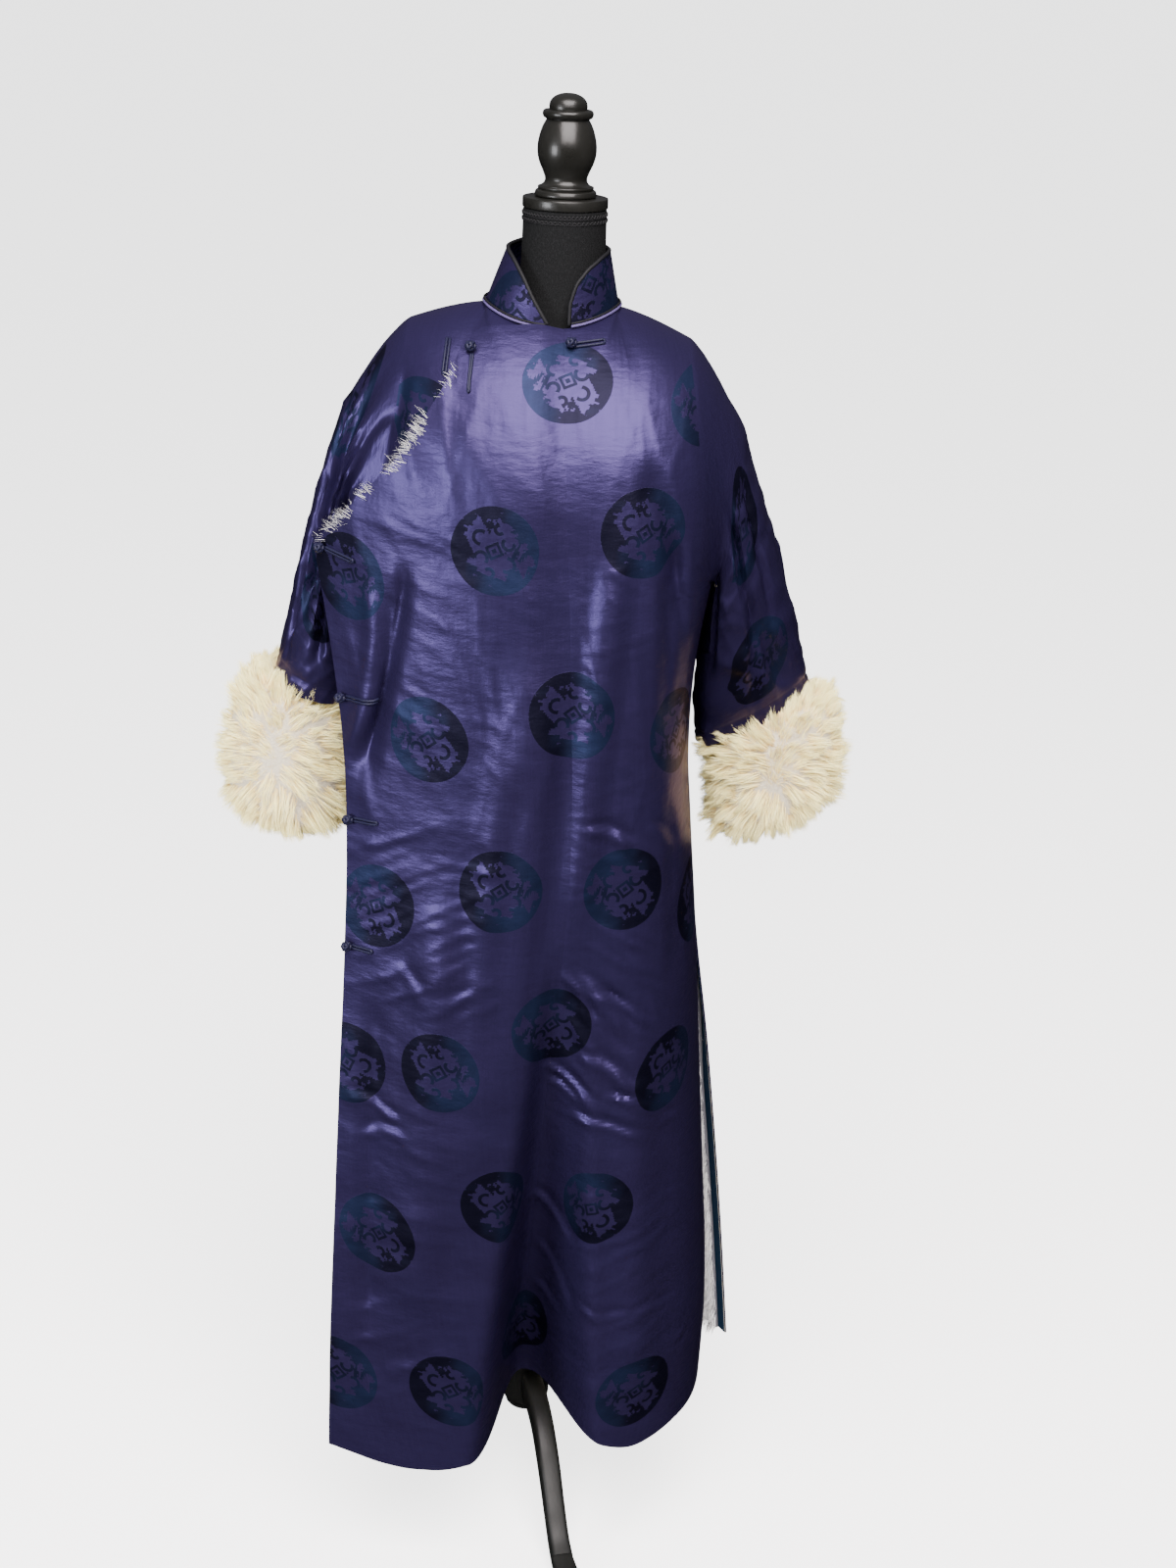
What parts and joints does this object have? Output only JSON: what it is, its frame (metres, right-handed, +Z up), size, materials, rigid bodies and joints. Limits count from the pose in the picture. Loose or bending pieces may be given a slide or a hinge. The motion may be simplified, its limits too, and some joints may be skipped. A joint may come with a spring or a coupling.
{
  "type": "fur-lined robe on dress form",
  "caption": "Long fur-lined silk robe with a side-closing front, standing collar and fur cuffs, hanging on a limbless dress form with a tripod stand.",
  "frame": {"origin": "on the floor, under the middle of the object's bounding box", "axes": "+Z up, the robe's front faces -Y and the wearer's left is +X"},
  "size_m": [0.749, 0.465, 1.706],
  "materials": {
    "silk": "satin silk damask",
    "fur": "long soft fur",
    "facing": "plain silk",
    "black_cord": "bias-cut silk cord",
    "jersey": "matte knit",
    "turned_wood": "semi-gloss black lacquer",
    "stand_wood": "black paint with a satin sheen"
  },
  "bodies": {
    "root": {"body_left": "silk", "body_right": "silk", "collar": "silk", "collar_base_piping": "black_cord", "collar_edge_piping": "black_cord", "dress_form": "jersey", "edge_fur": "fur", "finial": "turned_wood", "front_overlap": "silk", "fur_cuff_left": "fur", "fur_cuff_right": "fur", "hub": "stand_wood", "knot_corner": "black_cord", "knot_neck": "black_cord", "knot_shoulder": "black_cord", "knot_side_lower": "black_cord", "knot_side_middle": "black_cord", "knot_side_upper": "black_cord", "leg_front": "stand_wood", "leg_left": "stand_wood", "leg_right": "stand_wood", "loose_loop": "black_cord", "neck_cap": "turned_wood", "pole": "stand_wood", "sleeve_left": "silk", "sleeve_right": "silk", "slit_facing": "facing", "slit_fur": "fur", "strap_corner": "black_cord", "strap_neck": "black_cord", "strap_shoulder": "black_cord", "strap_side_lower": "black_cord", "strap_side_middle": "black_cord", "strap_side_upper": "black_cord"}
  },
  "joints": []
}
